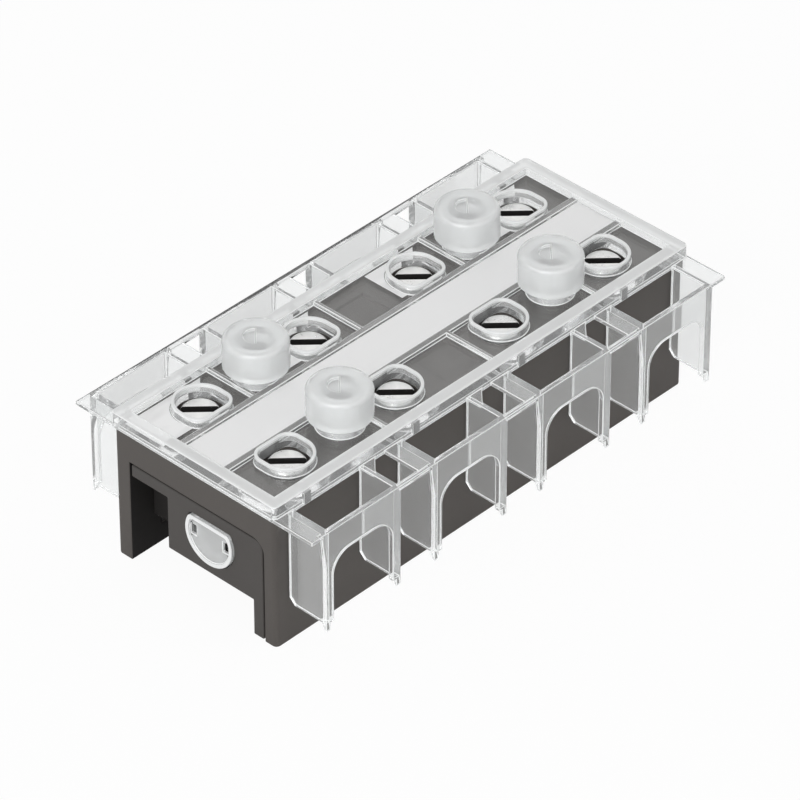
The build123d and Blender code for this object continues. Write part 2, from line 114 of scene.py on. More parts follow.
class NodeSheet:
    """Builds a node tree with short calls."""

    def __init__(self, tree: bpy.types.NodeTree) -> None:
        """Keeps the tree that nodes are added to."""
        self.tree = tree

    def add(self, kind: str, **settings: object) -> bpy.types.Node:
        """Adds a node.

        Args:
            kind: The node's type name.
            settings: Attributes to set on it.

        Returns:
            The new node.
        """
        node = self.tree.nodes.new(kind)
        for name, value in settings.items():
            setattr(node, name, value)
        return node

    def link(self, source: bpy.types.NodeSocket, target: bpy.types.NodeSocket) -> None:
        """Joins two sockets."""
        self.tree.links.new(source, target)

    def feed(self, target: bpy.types.NodeSocket, value: object) -> None:
        """Gives an input its value.

        Args:
            target: The input.
            value: A number or a colour, or an output socket to link from.
        """
        if isinstance(value, bpy.types.NodeSocket):
            self.link(value, target)
        else:
            target.default_value = value

    def put(self, node: bpy.types.Node, **values: object) -> bpy.types.Node:
        """Sets a node's inputs by name, with spaces written as underscores.

        Args:
            node: The node.
            values: A value or an output socket for each input.

        Returns:
            The same node.
        """
        for name, value in values.items():
            self.feed(node.inputs[name.replace("_", " ")], value)
        return node

    def maths(self, operation: str, first: object, second: object) -> bpy.types.NodeSocket:
        """Adds a Math node.

        Args:
            operation: Its operation.
            first: A number or a socket.
            second: A number or a socket.

        Returns:
            Its output socket.
        """
        node = self.add("ShaderNodeMath", operation=operation)
        for target, value in zip(node.inputs, (first, second)):
            self.feed(target, value)
        return node.outputs[0]

    def ramp(self, value: bpy.types.NodeSocket, low: float, high: float, out_low: float,
             out_high: float) -> bpy.types.NodeSocket:
        """Maps a value from one range to another and holds it there.

        Args:
            value: The socket to map.
            low: The value that gives out_low.
            high: The value that gives out_high.
            out_low: The first result.
            out_high: The last result.

        Returns:
            The mapped socket.
        """
        node = self.add("ShaderNodeMapRange", clamp=True)
        self.put(node, Value=value, From_Min=low, From_Max=high, To_Min=out_low, To_Max=out_high)
        return node.outputs["Result"]

    def tint(self, colour: Colour, shade: bpy.types.NodeSocket) -> bpy.types.NodeSocket:
        """Multiplies a colour by a shade that changes over the surface.

        Args:
            colour: The colour, in linear light.
            shade: The shade, about 1.

        Returns:
            The tinted colour's socket.
        """
        node = self.add("ShaderNodeMix", data_type="RGBA", blend_type="MULTIPLY")
        node.inputs["Factor"].default_value = 1.0
        node.inputs[MIX_A].default_value = (*colour, 1.0)
        self.link(shade, node.inputs[MIX_B])
        return node.outputs[MIX_RESULT]

    def bump(self, height: bpy.types.NodeSocket, strength: float, depth_mm: float) -> bpy.types.NodeSocket:
        """Makes a fine relief.

        Args:
            height: The relief, from 0 to 1.
            strength: How strongly it shows.
            depth_mm: Its depth.

        Returns:
            The normal's socket.
        """
        node = self.put(self.add("ShaderNodeBump"), Strength=strength, Distance=depth_mm * MM, Height=height)
        return node.outputs["Normal"]

    def rays(self, *kinds: str) -> bpy.types.NodeSocket:
        """Tells rays of some kinds from all others.

        Args:
            kinds: The kinds, such as Camera or Shadow.

        Returns:
            A socket that is 1 for these rays and 0 for others.
        """
        path = self.add("ShaderNodeLightPath").outputs
        told = path[f"Is {kinds[0]} Ray"]
        for kind in kinds[1:]:
            told = self.maths("MAXIMUM", told, path[f"Is {kind} Ray"])
        return told

    def blend_surface(self, share: bpy.types.NodeSocket, first: bpy.types.Node,
                      second: bpy.types.Node) -> None:
        """Makes a material's surface a blend of two shaders.

        Args:
            share: How much of the second shader shows.
            first: The shader that shows where share is 0.
            second: The shader that shows where share is 1.
        """
        blend = self.add("ShaderNodeMixShader")
        for source, target in zip((share, first.outputs[0], second.outputs[0]), blend.inputs):
            self.link(source, target)
        output = next(node for node in self.tree.nodes if node.type == "OUTPUT_MATERIAL")
        self.link(blend.outputs[0], output.inputs["Surface"])


def start_group(name: str, kind: str, inputs: dict[str, str],
                outputs: dict[str, str]) -> tuple[NodeSheet, Sockets, Sockets]:
    """Starts a node group with its sockets.

    Args:
        name: The group's name.
        kind: ShaderNodeTree or GeometryNodeTree.
        inputs: The name and the type of each input.
        outputs: The name and the type of each output.

    Returns:
        A sheet on the group, the sockets that its inputs come from, and those of its results.
    """
    tree = bpy.data.node_groups.new(name, kind)
    for way, sockets in (("INPUT", inputs), ("OUTPUT", outputs)):
        for title, sort in sockets.items():
            tree.interface.new_socket(name=title, in_out=way, socket_type=f"NodeSocket{sort}")
    sheet = NodeSheet(tree)
    return sheet, sheet.add("NodeGroupInput").outputs, sheet.add("NodeGroupOutput").inputs


def moulded_grain() -> bpy.types.NodeTree:
    """The shared grain of plastics and metals: a fine spark texture and slow cloudiness.

    Returns:
        The shader node group, with outputs Shade, Rough and Height.
    """
    name = "moulded_grain"
    if name in bpy.data.node_groups:
        return bpy.data.node_groups[name]
    sheet, given, result = start_group(
        name, "ShaderNodeTree",
        dict.fromkeys(("Grain Scale", "Cloud Scale", "Contrast", "Roughness"), "Float"),
        dict.fromkeys(("Shade", "Rough", "Height"), "Float"))
    place = sheet.add("ShaderNodeTexCoord").outputs["Object"]
    grain = sheet.put(sheet.add("ShaderNodeTexNoise"), Vector=place, Scale=given["Grain Scale"], Detail=2.0)
    cloud = sheet.put(sheet.add("ShaderNodeTexNoise"), Vector=place, Scale=given["Cloud Scale"], Detail=4.0,
                      Roughness=0.6)
    fine = sheet.maths("SUBTRACT", grain.outputs[0], NOISE_MEAN)
    slow = sheet.maths("MULTIPLY", sheet.maths("SUBTRACT", cloud.outputs[0], NOISE_MEAN), CLOUD_WEIGHT)
    mixed = sheet.maths("ADD", slow, fine)
    shade = sheet.maths("ADD", sheet.maths("MULTIPLY", mixed, given["Contrast"]), 1.0)
    rough = sheet.maths("ADD", given["Roughness"], sheet.maths("MULTIPLY", mixed, GRAIN_ROUGHNESS))
    sheet.link(shade, result["Shade"])
    sheet.link(rough, result["Rough"])
    sheet.link(grain.outputs[0], result["Height"])
    return sheet.tree


def clear_haze() -> bpy.types.NodeTree:
    """The shared unevenness of clear mouldings: slow haze and long flow lines.

    Returns:
        The shader node group, with outputs Rough and Height.
    """
    name = "clear_haze"
    if name in bpy.data.node_groups:
        return bpy.data.node_groups[name]
    sheet, given, result = start_group(name, "ShaderNodeTree", dict.fromkeys(("Scale", "Roughness"), "Float"),
                                       dict.fromkeys(("Rough", "Height"), "Float"))
    place = sheet.add("ShaderNodeTexCoord").outputs["Object"]
    cloud = sheet.put(sheet.add("ShaderNodeTexNoise"), Vector=place, Scale=given["Scale"], Detail=3.0)
    drawn = sheet.put(sheet.add("ShaderNodeMapping"), Vector=place, Scale=FLOW_STRETCH).outputs["Vector"]
    flow = sheet.put(sheet.add("ShaderNodeTexNoise"), Vector=drawn, Scale=given["Scale"], Detail=1.0,
                     Distortion=FLOW_DISTORTION)
    haze = sheet.maths("MULTIPLY", cloud.outputs[0], HAZE_ROUGHNESS)
    sheet.link(sheet.maths("ADD", given["Roughness"], haze), result["Rough"])
    sheet.link(flow.outputs[0], result["Height"])
    return sheet.tree


def blank_material(name: str) -> tuple[bpy.types.Material, NodeSheet, bpy.types.Node]:
    """A new material with one Principled shader.

    Args:
        name: The material's name.

    Returns:
        The material, a sheet on its tree, and the shader.
    """
    material = bpy.data.materials.new(name)
    material.use_nodes = True
    material.node_tree.nodes.clear()
    sheet = NodeSheet(material.node_tree)
    shader = sheet.add("ShaderNodeBsdfPrincipled")
    output = sheet.add("ShaderNodeOutputMaterial")
    sheet.link(shader.outputs["BSDF"], output.inputs["Surface"])
    return material, sheet, shader


@dataclass(frozen=True)
class GrainedFinish:
    """A solid finish whose shade, gloss and relief follow the shared grain."""

    name: str
    colour: Colour
    roughness: float = 0.5
    contrast: float = 0.2
    grain_scale: float = 2600.0
    cloud_scale: float = 60.0
    bump_mm: float = 0.02
    bump_strength: float = 0.5

    def grained(self, **even: float) -> bpy.types.Material:
        """Builds the material.

        Args:
            even: Shader values that are the same all over the surface.

        Returns:
            The material.
        """
        material, sheet, shader = blank_material(self.name)
        grain = sheet.add("ShaderNodeGroup", node_tree=moulded_grain())
        sheet.put(grain, Grain_Scale=self.grain_scale, Cloud_Scale=self.cloud_scale, Contrast=self.contrast,
                  Roughness=self.roughness)
        sheet.put(shader, Base_Color=sheet.tint(self.colour, grain.outputs["Shade"]),
                  Roughness=grain.outputs["Rough"],
                  Normal=sheet.bump(grain.outputs["Height"], self.bump_strength, self.bump_mm), **even)
        return material


@dataclass(frozen=True)
class MouldedFinish(GrainedFinish):
    """A dull moulded plastic with a spark-eroded grain."""

    specular: float = 0.3

    def material(self) -> bpy.types.Material:
        """Builds the material."""
        return self.grained(Specular_IOR_Level=self.specular)


@dataclass(frozen=True)
class MetalFinish(GrainedFinish):
    """A plated metal with fine turning or rolling marks."""

    grain_scale: float = 900.0
    cloud_scale: float = 220.0
    bump_mm: float = 0.006
    bump_strength: float = 0.4

    def material(self) -> bpy.types.Material:
        """Builds the material."""
        return self.grained(Metallic=1.0)


@dataclass(frozen=True)
class ClearFinish:
    """A clear moulded plastic: part glass, part milky, with only a weak shadow."""

    name: str
    clearness: float
    roughness: float
    colour: Colour = (0.93, 0.94, 0.94)
    scale: float = 45.0
    light_passed: float = 0.9
    bump_mm: float = 0.02
    bump_strength: float = 0.3
    ior: float = 1.5

    def material(self) -> bpy.types.Material:
        """Builds the material, which lets the lamps shine through to what lies beneath."""
        material, sheet, shader = blank_material(self.name)
        haze = sheet.add("ShaderNodeGroup", node_tree=clear_haze())
        sheet.put(haze, Scale=self.scale, Roughness=self.roughness)
        sheet.put(shader, Base_Color=(*self.colour, 1.0), Roughness=haze.outputs["Rough"],
                  Normal=sheet.bump(haze.outputs["Height"], self.bump_strength, self.bump_mm),
                  Transmission_Weight=self.clearness, IOR=self.ior)
        passing = sheet.add("ShaderNodeBsdfTransparent")
        sheet.put(passing, Color=(self.light_passed, self.light_passed, self.light_passed, 1.0))
        sheet.blend_surface(sheet.rays("Shadow"), shader, passing)
        return material


@dataclass(frozen=True)
class FilmFinish:
    """A thin white film, see-through by an uneven amount."""

    name: str
    colour: Colour = (0.95, 0.95, 0.95)
    roughness: float = 0.45
    haze_range: tuple[float, float] = (0.35, 0.65)
    cover_range: tuple[float, float] = (0.84, 0.97)
    scale: float = 60.0

    def material(self) -> bpy.types.Material:
        """Builds the material."""
        material, sheet, shader = blank_material(self.name)
        haze = sheet.add("ShaderNodeGroup", node_tree=clear_haze())
        sheet.put(haze, Scale=self.scale, Roughness=self.roughness)
        cover = sheet.ramp(haze.outputs["Height"], *self.haze_range, *self.cover_range)
        sheet.put(shader, Base_Color=(*self.colour, 1.0), Roughness=haze.outputs["Rough"], Alpha=cover)
        return material


def finish_group(sheet: NodeSheet, shape: bpy.types.NodeSocket, material: bpy.types.NodeSocket,
                 target: bpy.types.NodeSocket) -> None:
    """Ends a Geometry Nodes tree with Realize Instances and Set Material.

    Args:
        sheet: The tree's sheet.
        shape: The geometry so far.
        material: The material to set.
        target: The tree's output.
    """
    real = sheet.put(sheet.add("GeometryNodeRealizeInstances"), Geometry=shape)
    painted = sheet.put(sheet.add("GeometryNodeSetMaterial"), Geometry=real.outputs["Geometry"],
                        Material=material)
    sheet.link(painted.outputs["Geometry"], target)


def coil_tree() -> bpy.types.NodeTree:
    """The shared tree that winds a screw thread: one ridge along a helix.

    Returns:
        The Geometry Nodes tree, with inputs Radius, Height, Turns, Ridge, Place and Material.
    """
    name = "thread_coil"
    if name in bpy.data.node_groups:
        return bpy.data.node_groups[name]
    sheet, given, result = start_group(
        name, "GeometryNodeTree", {**dict.fromkeys(("Radius", "Height", "Turns", "Ridge"), "Float"),
                                   "Place": "Vector", "Material": "Material"}, {"Mesh": "Geometry"})
    helix = sheet.add("GeometryNodeCurveSpiral")
    sheet.put(helix, Resolution=COIL_STEPS, Rotations=given["Turns"], Start_Radius=given["Radius"],
              End_Radius=given["Radius"], Height=given["Height"])
    ridge = sheet.add("GeometryNodeCurvePrimitiveCircle")
    sheet.put(ridge, Resolution=RIDGE_CORNERS, Radius=given["Ridge"])
    wound = sheet.add("GeometryNodeCurveToMesh")
    sheet.put(wound, Curve=helix.outputs["Curve"], Profile_Curve=ridge.outputs["Curve"], Fill_Caps=True)
    placed = sheet.add("GeometryNodeTransform")
    sheet.put(placed, Geometry=wound.outputs["Mesh"], Translation=given["Place"])
    finish_group(sheet, placed.outputs["Geometry"], given["Material"], result["Mesh"])
    return sheet.tree


def ridge_tree() -> bpy.types.NodeTree:
    """The shared tree that lays a row of equal ridges side by side.

    Returns:
        The Geometry Nodes tree, with inputs Count, Step, Size, Place and Material.
    """
    name = "ridge_row"
    if name in bpy.data.node_groups:
        return bpy.data.node_groups[name]
    sheet, given, result = start_group(
        name, "GeometryNodeTree", {"Count": "Int", **dict.fromkeys(("Step", "Size", "Place"), "Vector"),
                                   "Material": "Material"}, {"Mesh": "Geometry"})
    row = sheet.add("GeometryNodeMeshLine", mode="OFFSET")
    sheet.put(row, Count=given["Count"], Start_Location=given["Place"], Offset=given["Step"])
    ridge = sheet.put(sheet.add("GeometryNodeMeshCube"), Size=given["Size"])
    spread = sheet.add("GeometryNodeInstanceOnPoints")
    sheet.put(spread, Points=row.outputs["Mesh"], Instance=ridge.outputs["Mesh"])
    finish_group(sheet, spread.outputs["Instances"], given["Material"], result["Mesh"])
    return sheet.tree


def link_piece(name: str, mesh: bpy.types.Mesh) -> bpy.types.Object:
    """Puts a mesh in the scene as an object at the origin.

    Args:
        name: The object's name.
        mesh: Its mesh, in the shared frame.

    Returns:
        The object.
    """
    piece = bpy.data.objects.new(name, mesh)
    bpy.context.scene.collection.objects.link(piece)
    return piece


def grow(name: str, tree: bpy.types.NodeTree, **inputs: object) -> bpy.types.Object:
    """Makes a piece whose mesh comes from a Geometry Nodes tree.

    Args:
        name: The piece's name.
        tree: The tree.
        inputs: The tree's inputs by name.

    Returns:
        The piece, with the modifier still live.
    """
    piece = link_piece(name, bpy.data.meshes.new(name))
    modifier = piece.modifiers.new(tree.name, "NODES")
    modifier.node_group = tree
    sockets = {item.name: item.identifier for item in tree.interface.items_tree if item.in_out == "INPUT"}
    for title, value in inputs.items():
        modifier[sockets[title]] = value
    return piece


def body_of_node(node: str) -> str:
    """The name of the body that a CAD node belongs to."""
    bodies = frame["record"]["behaviour"]["bodies"]
    return next(body for body, nodes in bodies.items() if node in nodes)


def joined_copy(node: str) -> bpy.types.Mesh:
    """A copy of a CAD node's mesh, with its loose triangles merged and joined in flat pairs.

    Args:
        node: The CAD node's name.

    Returns:
        The new mesh, in the shared frame.
    """
    mesh = frame["nodes"][node].data.copy()
    mesh.name = node
    mesh.materials.clear()
    shape = bmesh.new()
    shape.from_mesh(mesh)
    bmesh.ops.remove_doubles(shape, verts=shape.verts, dist=MERGE_MM * MM)
    bmesh.ops.join_triangles(shape, faces=shape.faces, angle_face_threshold=math.radians(FLAT_DEG),
                             angle_shape_threshold=math.radians(SKEW_DEG))
    shape.to_mesh(mesh)
    shape.free()
    if "custom_normal" in mesh.attributes:
        mesh.attributes.remove(mesh.attributes["custom_normal"])
    return mesh


def round_edges(piece: bpy.types.Object, width_mm: float, segments: int, edge_slot: int) -> None:
    """Rounds the sharp edges of a piece.

    Args:
        piece: The object.
        width_mm: How far each edge is cut back.
        segments: Faces across each rounding.
        edge_slot: The material slot of the new faces, or -1 for their neighbours' own.
    """
    rounding = piece.modifiers.new("rounded_edges", "BEVEL")
    rounding.limit_method = "ANGLE"
    rounding.angle_limit = math.radians(SHARP_DEG)
    rounding.width = width_mm * MM
    rounding.segments = segments
    rounding.use_clamp_overlap = False
    rounding.loop_slide = False
    rounding.harden_normals = True
    rounding.material = edge_slot


def dress(node: str, materials: list[bpy.types.Material], width_mm: float, segments: int = 2,
          edge_slot: int = -1) -> bpy.types.Object:
    """Makes the shown piece of a CAD node: the same form with rounded edges and a finish.

    Args:
        node: The CAD node's name.
        materials: Its material slots.
        width_mm: The rounding of its edges.
        segments: Faces across each rounding.
        edge_slot: The material slot of the rounded edges, or -1 for their neighbours' own.

    Returns:
        The piece, with the rounding still live.
    """
    mesh = joined_copy(node)
    for material in materials:
        mesh.materials.append(material)
    mesh.polygons.foreach_set("use_smooth", [True] * len(mesh.polygons))
    piece = link_piece(f"{node}_shown", mesh)
    round_edges(piece, width_mm, segments, edge_slot)
    return piece


def arc(centre: tuple[float, float], radius: float, first_deg: float, last_deg: float,
        steps: int) -> list[tuple[float, float]]:
    """Points along an arc, with both its ends.

    Args:
        centre: The arc's centre.
        radius: Its radius.
        first_deg: The angle that it starts at.
        last_deg: The angle that it ends at.
        steps: How many equal parts it is cut into.

    Returns:
        The points in order.
    """
    angles = [math.radians(first_deg + (last_deg - first_deg) * step / steps) for step in range(steps + 1)]
    return [(centre[0] + radius * math.cos(angle), centre[1] + radius * math.sin(angle)) for angle in angles]


class Bench:
    """Collects the pieces, then turns their modifiers into plain mesh all at once."""

    def __init__(self) -> None:
        """Starts with an empty bench."""
        self.pieces: list[tuple[bpy.types.Object, str, bool]] = []

    def lay(self, piece: bpy.types.Object, node: str, stands: bool = True) -> bpy.types.Object:
        """Lays down a piece.

        Args:
            piece: The object, with its modifiers.
            node: The CAD node that it stands for, or that carries it.
            stands: Whether it takes the node's place.

        Returns:
            The same object.
        """
        self.pieces.append((piece, node, stands))
        return piece

    def settle(self) -> None:
        """Makes every piece a plain mesh, ties it to its node's body, and hides the node that it stands for.
        """
        graph = bpy.context.evaluated_depsgraph_get()
        meshes = [bpy.data.meshes.new_from_object(piece.evaluated_get(graph), depsgraph=graph)
                  for piece, _, _ in self.pieces]
        for (piece, node, stands), mesh in zip(self.pieces, meshes):
            piece.modifiers.clear()
            piece.data = mesh
            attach(piece, body_of_node(node))
            if stands:
                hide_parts(node)
            LOG.info("%s: %d faces", piece.name, len(mesh.polygons))


@dataclass
class Housing:
    """The dark housing, the carrier inside it, the rail feet and the end plugs."""

    shell: MouldedFinish = MouldedFinish("housing_plastic", srgb(82, 78, 75))
    carrier: MouldedFinish = MouldedFinish("carrier_plastic", srgb(74, 71, 69))
    # Painted shade: a near-black finish for the rail channel and the end recesses, standing for the shade in
    # them.
    shade: MouldedFinish = MouldedFinish("recess_shade", srgb(30, 28, 27), roughness=0.7, contrast=0.06)
    foot: MouldedFinish = MouldedFinish("foot_plastic", srgb(38, 37, 36), roughness=0.45)
    plug: ClearFinish = ClearFinish("plug_plastic", 0.66, roughness=0.16, light_passed=0.6)
    # Painted highlight: the plugs' rounded edges and outermost faces are nearly white.
    plug_edge: ClearFinish = ClearFinish("plug_edge", 0.1, roughness=0.2, light_passed=0.6)
    edge_mm: float = 0.3
    edge_segments: int = 3
    foot_edge_mm: float = 0.15
    plug_edge_mm: float = 0.2
    plug_rim_mm: float = 0.02
    channel_mm: tuple[tuple[float, float], ...] = ((-62.3, 62.3), (-16.6, 19.6), (0.2, 22.6))
    end_depth_mm: float = 2.5

    def in_channel(self, centre: Vector, normal: Vector) -> bool:
        """Whether a face lies between the legs, where the painted shade goes.

        Args:
            centre: The face's middle, in metres.
            normal: Its outward normal.

        Returns:
            Whether it lines the rail channel or an end recess, and isn't part of an end face.
        """
        place = (centre.x / MM, centre.y / MM, centre.z / MM)
        if abs(normal.x) > FACING and abs(place[0]) > self.channel_mm[0][1] - self.end_depth_mm:
            return False
        return all(low < value < high for value, (low, high) in zip(place, self.channel_mm))

    def end_plug(self, node: str, plug: bpy.types.Material, edge: bpy.types.Material) -> bpy.types.Object:
        """Dresses an end plug, whose outermost faces get the same white painted highlight as its edges.

        Args:
            node: The plug's CAD node.
            plug: Its finish.
            edge: The white painted highlight of its edges.

        Returns:
            The piece.
        """
        piece = dress(node, [plug, edge], self.plug_edge_mm, edge_slot=1)
        reach = max(abs(corner.co.x) for corner in piece.data.vertices)
        for face in piece.data.polygons:
            face.material_index = int(abs(face.center.x) > reach - self.plug_rim_mm * MM)
        return piece

    def build(self, bench: Bench) -> None:
        """Dresses every part of the housing."""
        shade = self.shade.material()
        for node, finish in (("base_housing", self.shell), ("rail_carrier", self.carrier)):
            piece = dress(node, [finish.material(), shade], self.edge_mm, self.edge_segments)
            # Faces in the rail channel and the end recesses get the painted shade.
            for face in piece.data.polygons:
                face.material_index = int(self.in_channel(face.center, face.normal))
            bench.lay(piece, node)
        foot = self.foot.material()
        for node in ("rail_foot_near", "rail_foot_far"):
            bench.lay(dress(node, [foot], self.foot_edge_mm), node)
        plug, edge = self.plug.material(), self.plug_edge.material()
        for node in ("end_plug_near", "end_plug_far"):
            bench.lay(self.end_plug(node, plug, edge), node)


@dataclass
class Terminals:
    """The plated brass terminals with their screws and pads, and the housing's own screws."""

    poles: int = 4
    rows: tuple[str, ...] = ("front", "back")
    brass: MetalFinish = MetalFinish("plated_brass", (0.80, 0.79, 0.75), roughness=0.32)
    steel: MetalFinish = MetalFinish("zinc_steel", (0.78, 0.78, 0.77), roughness=0.3, bump_mm=0.002)
    # Painted shade: a near-black finish inside the screw slots, where the metal lies in shade.
    slot: MouldedFinish = MouldedFinish("slot_shade", srgb(34, 33, 32), roughness=0.6, contrast=0.08)
    edge_mm: float = 0.12
    housing_screw_edge_mm: float = 0.1
    slot_depth_mm: float = 2.2
    slot_half_mm: float = 1.0
    slot_rim_mm: float = 0.05
    core_mm: float = 3.82
    core_step_mm: float = 0.15
    slot_foot_mm: float = 0.2
    height_play_mm: float = 0.01
    ridge_mm: float = 0.26
    pitch_mm: float = 1.5
    thread_margin_mm: float = 0.5
    serrations: int = 8
    serrated_share: float = 0.8
    serration_share: float = 0.5
    serration_mm: float = 0.16
    serration_drop_mm: float = 0.02

    def thin_core(self, shape: bmesh.types.BMesh, middle: Vector, neck: float) -> None:
        """Draws a screw in to its core under the neck, so that the wound thread shows.

        Args:
            shape: The screw's mesh.
            middle: A point on its axis.
            neck: The height of its neck.
        """
        for height in (neck, neck + self.core_step_mm * MM):
            bmesh.ops.bisect_plane(shape, geom=shape.verts[:] + shape.edges[:] + shape.faces[:],
                                   plane_co=(0.0, 0.0, height), plane_no=UP)
        core = self.core_mm * MM
        for corner in shape.verts:
            away = Vector((corner.co.x - middle.x, corner.co.y - middle.y))
            if corner.co.z < neck + self.height_play_mm * MM and away.length > core:
                away *= core / away.length
                corner.co.x, corner.co.y = middle.x + away.x, middle.y + away.y

    def shade_slot(self, shape: bmesh.types.BMesh, middle: Vector, neck: float, top: float) -> None:
        """Gives the inside of a screw's slanting slot the second material slot, which holds painted shade.

        Args:
            shape: The screw's mesh.
            middle: A point on its axis.
            neck: The height of its neck.
            top: The height of its head.
        """
        for face in shape.faces:
            centre = face.calc_center_median()
            across = abs((centre.x - middle.x) + (centre.y - middle.y)) / math.sqrt(2)
            inside = across < self.slot_half_mm * MM and centre.z < top - self.slot_rim_mm * MM
            face.material_index = int(inside and centre.z > neck + self.slot_foot_mm * MM)

    def screw(self, bench: Bench, node: str, steel: bpy.types.Material, slot: bpy.types.Material) -> None:
        """Dresses a clamp screw: painted shade in its slot, a thinner core under it and a wound thread.

        Args:
            bench: Where the pieces are laid.
            node: The screw's CAD node.
            steel: Its finish.
            slot: The painted shade of the slot's inside.
        """
        low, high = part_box(node)
        middle = (low + high) / 2
        neck = high.z - (self.slot_depth_mm + self.thread_margin_mm) * MM
        piece = dress(node, [steel, slot], self.edge_mm)
        shape = bmesh.new()
        shape.from_mesh(piece.data)
        self.thin_core(shape, middle, neck)
        self.shade_slot(shape, middle, neck, high.z)
        shape.to_mesh(piece.data)
        shape.free()
        bench.lay(piece, node)
        start = low.z + self.thread_margin_mm * MM
        height = neck - self.thread_margin_mm * MM - start
        coil = grow(f"{node}_thread", coil_tree(), Radius=self.core_mm * MM, Height=height,
                    Turns=height / (self.pitch_mm * MM), Ridge=self.ridge_mm * MM,
                    Place=(middle.x, middle.y, start), Material=steel)
        bench.lay(coil, node, stands=False)

    def pad(self, bench: Bench, node: str, steel: bpy.types.Material) -> None:
        """Dresses a pressure pad with the serrations of its underside.

        Args:
            bench: Where the pieces are laid.
            node: The pad's CAD node.
            steel: Its finish.
        """
        low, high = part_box(node)
        bench.lay(dress(node, [steel], self.edge_mm), node)
        step = (high.y - low.y) * self.serrated_share / self.serrations
        first = (low.y + high.y) / 2 - step * (self.serrations - 1) / 2
        size = ((high.x - low.x) * self.serrated_share, step * self.serration_share, self.serration_mm * MM)
        place = ((low.x + high.x) / 2, first, low.z - self.serration_drop_mm * MM)
        row = grow(f"{node}_serrations", ridge_tree(), Count=self.serrations, Step=(0.0, step, 0.0),
                   Size=size, Place=place, Material=steel)
        bench.lay(row, node, stands=False)

    def build(self, bench: Bench) -> None:
        """Dresses every terminal, screw and pad."""
        brass, steel, slot = self.brass.material(), self.steel.material(), self.slot.material()
        for pole in range(1, self.poles + 1):
            node = f"terminal_block_{pole}"
            bench.lay(dress(node, [brass], self.edge_mm), node)
            for row in self.rows:
                self.screw(bench, f"clamp_screw_{pole}_{row}", steel, slot)
                self.pad(bench, f"clamp_pad_{pole}_{row}", steel)
        for number in range(1, self.poles):
            node = f"housing_screw_{number}"
            bench.lay(dress(node, [steel], self.housing_screw_edge_mm), node)


@dataclass(frozen=True)
class FilmCell:
    """Where one film lies in the back row: from a left edge or a knob up to a ring."""

    start_mm: float
    ring_mm: float
    past_knob: bool


